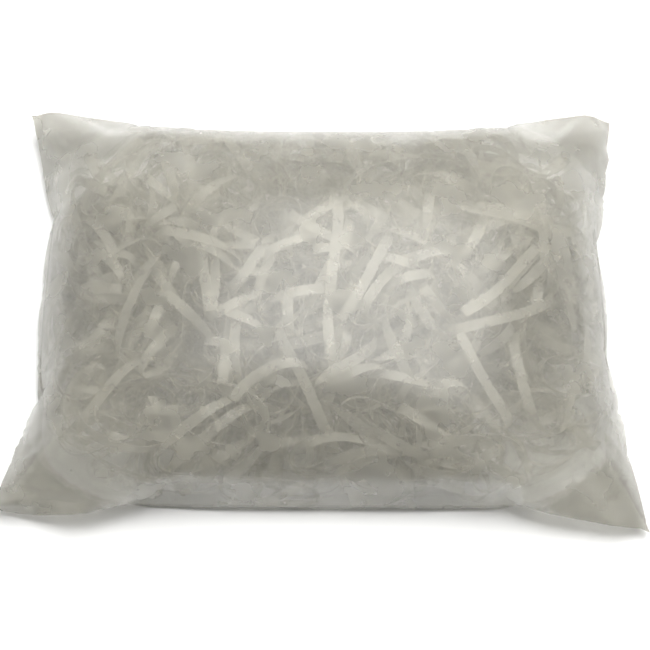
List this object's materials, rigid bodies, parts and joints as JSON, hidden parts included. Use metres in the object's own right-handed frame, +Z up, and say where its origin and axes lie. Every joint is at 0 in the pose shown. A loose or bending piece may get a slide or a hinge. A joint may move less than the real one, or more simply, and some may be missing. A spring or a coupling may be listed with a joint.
{
  "type": "bag of poultry leg bands",
  "caption": "Sealed frosted poly bag, filled like a pillow with loose clear elastic leg bands, with four flat corner ears that fold up.",
  "frame": {"origin": "on the table, under the middle of the bag", "axes": "+X along the long side to the right, +Y from the front edge to the back edge, +Z up"},
  "size_m": [0.3, 0.218, 0.056],
  "materials": {
    "film": "frosted translucent polyethylene",
    "band": "clear glossy elastomer film"
  },
  "bodies": {
    "filled_bag": {"upper_film": "film", "lower_film": "film", "left_end_seal": "film", "right_end_seal": "film", "front_folded_edge": "film", "back_folded_edge": "film", "bands_layer_1_group_1": "band", "bands_layer_1_group_2": "band", "bands_layer_1_group_3": "band", "bands_layer_1_group_4": "band", "bands_layer_1_group_5": "band", "bands_layer_1_group_6": "band", "bands_layer_2_group_1": "band", "bands_layer_2_group_2": "band", "bands_layer_2_group_3": "band", "bands_layer_2_group_4": "band", "bands_layer_2_group_5": "band", "bands_layer_2_group_6": "band", "bands_layer_3_group_1": "band", "bands_layer_3_group_2": "band", "bands_layer_3_group_3": "band", "bands_layer_3_group_4": "band", "bands_layer_3_group_5": "band", "bands_layer_3_group_6": "band", "bands_layer_4_group_1": "band", "bands_layer_4_group_2": "band", "bands_layer_4_group_3": "band", "bands_layer_4_group_4": "band", "bands_layer_4_group_5": "band", "bands_layer_4_group_6": "band", "bands_layer_5_group_1": "band", "bands_layer_5_group_2": "band", "bands_layer_5_group_3": "band", "bands_layer_5_group_4": "band", "bands_layer_5_group_5": "band", "bands_layer_5_group_6": "band", "bands_layer_6_group_1": "band", "bands_layer_6_group_2": "band", "bands_layer_6_group_3": "band", "bands_layer_6_group_4": "band", "bands_layer_6_group_5": "band", "bands_layer_6_group_6": "band", "bands_layer_7_group_1": "band", "bands_layer_7_group_2": "band", "bands_layer_7_group_3": "band", "bands_layer_7_group_4": "band", "bands_layer_7_group_5": "band", "bands_layer_7_group_6": "band", "bands_layer_8_group_1": "band", "bands_layer_8_group_2": "band", "bands_layer_8_group_3": "band", "bands_layer_8_group_4": "band", "bands_layer_8_group_5": "band", "bands_layer_8_group_6": "band"},
    "front_left_ear": {"front_left_ear": "film"},
    "front_right_ear": {"front_right_ear": "film"},
    "back_left_ear": {"back_left_ear": "film"},
    "back_right_ear": {"back_right_ear": "film"}
  },
  "joints": [
    {"name": "front_left_ear_fold", "type": "hinge", "parent": "filled_bag", "child": "front_left_ear", "pos_m": [-0.12737, -0.08637, 0.01], "axis": [-0.7071, 0.7071, 0], "range_deg": [0, 75], "stiffness_Nm_per_rad": 0.0003},
    {"name": "front_right_ear_fold", "type": "hinge", "parent": "filled_bag", "child": "front_right_ear", "pos_m": [0.12737, -0.08637, 0.01], "axis": [-0.7071, -0.7071, 0], "range_deg": [0, 75], "stiffness_Nm_per_rad": 0.0003},
    {"name": "back_left_ear_fold", "type": "hinge", "parent": "filled_bag", "child": "back_left_ear", "pos_m": [-0.12737, 0.08637, 0.01], "axis": [0.7071, 0.7071, 0], "range_deg": [0, 75], "stiffness_Nm_per_rad": 0.0003},
    {"name": "back_right_ear_fold", "type": "hinge", "parent": "filled_bag", "child": "back_right_ear", "pos_m": [0.12737, 0.08637, 0.01], "axis": [0.7071, -0.7071, 0], "range_deg": [0, 75], "stiffness_Nm_per_rad": 0.0003}
  ]
}
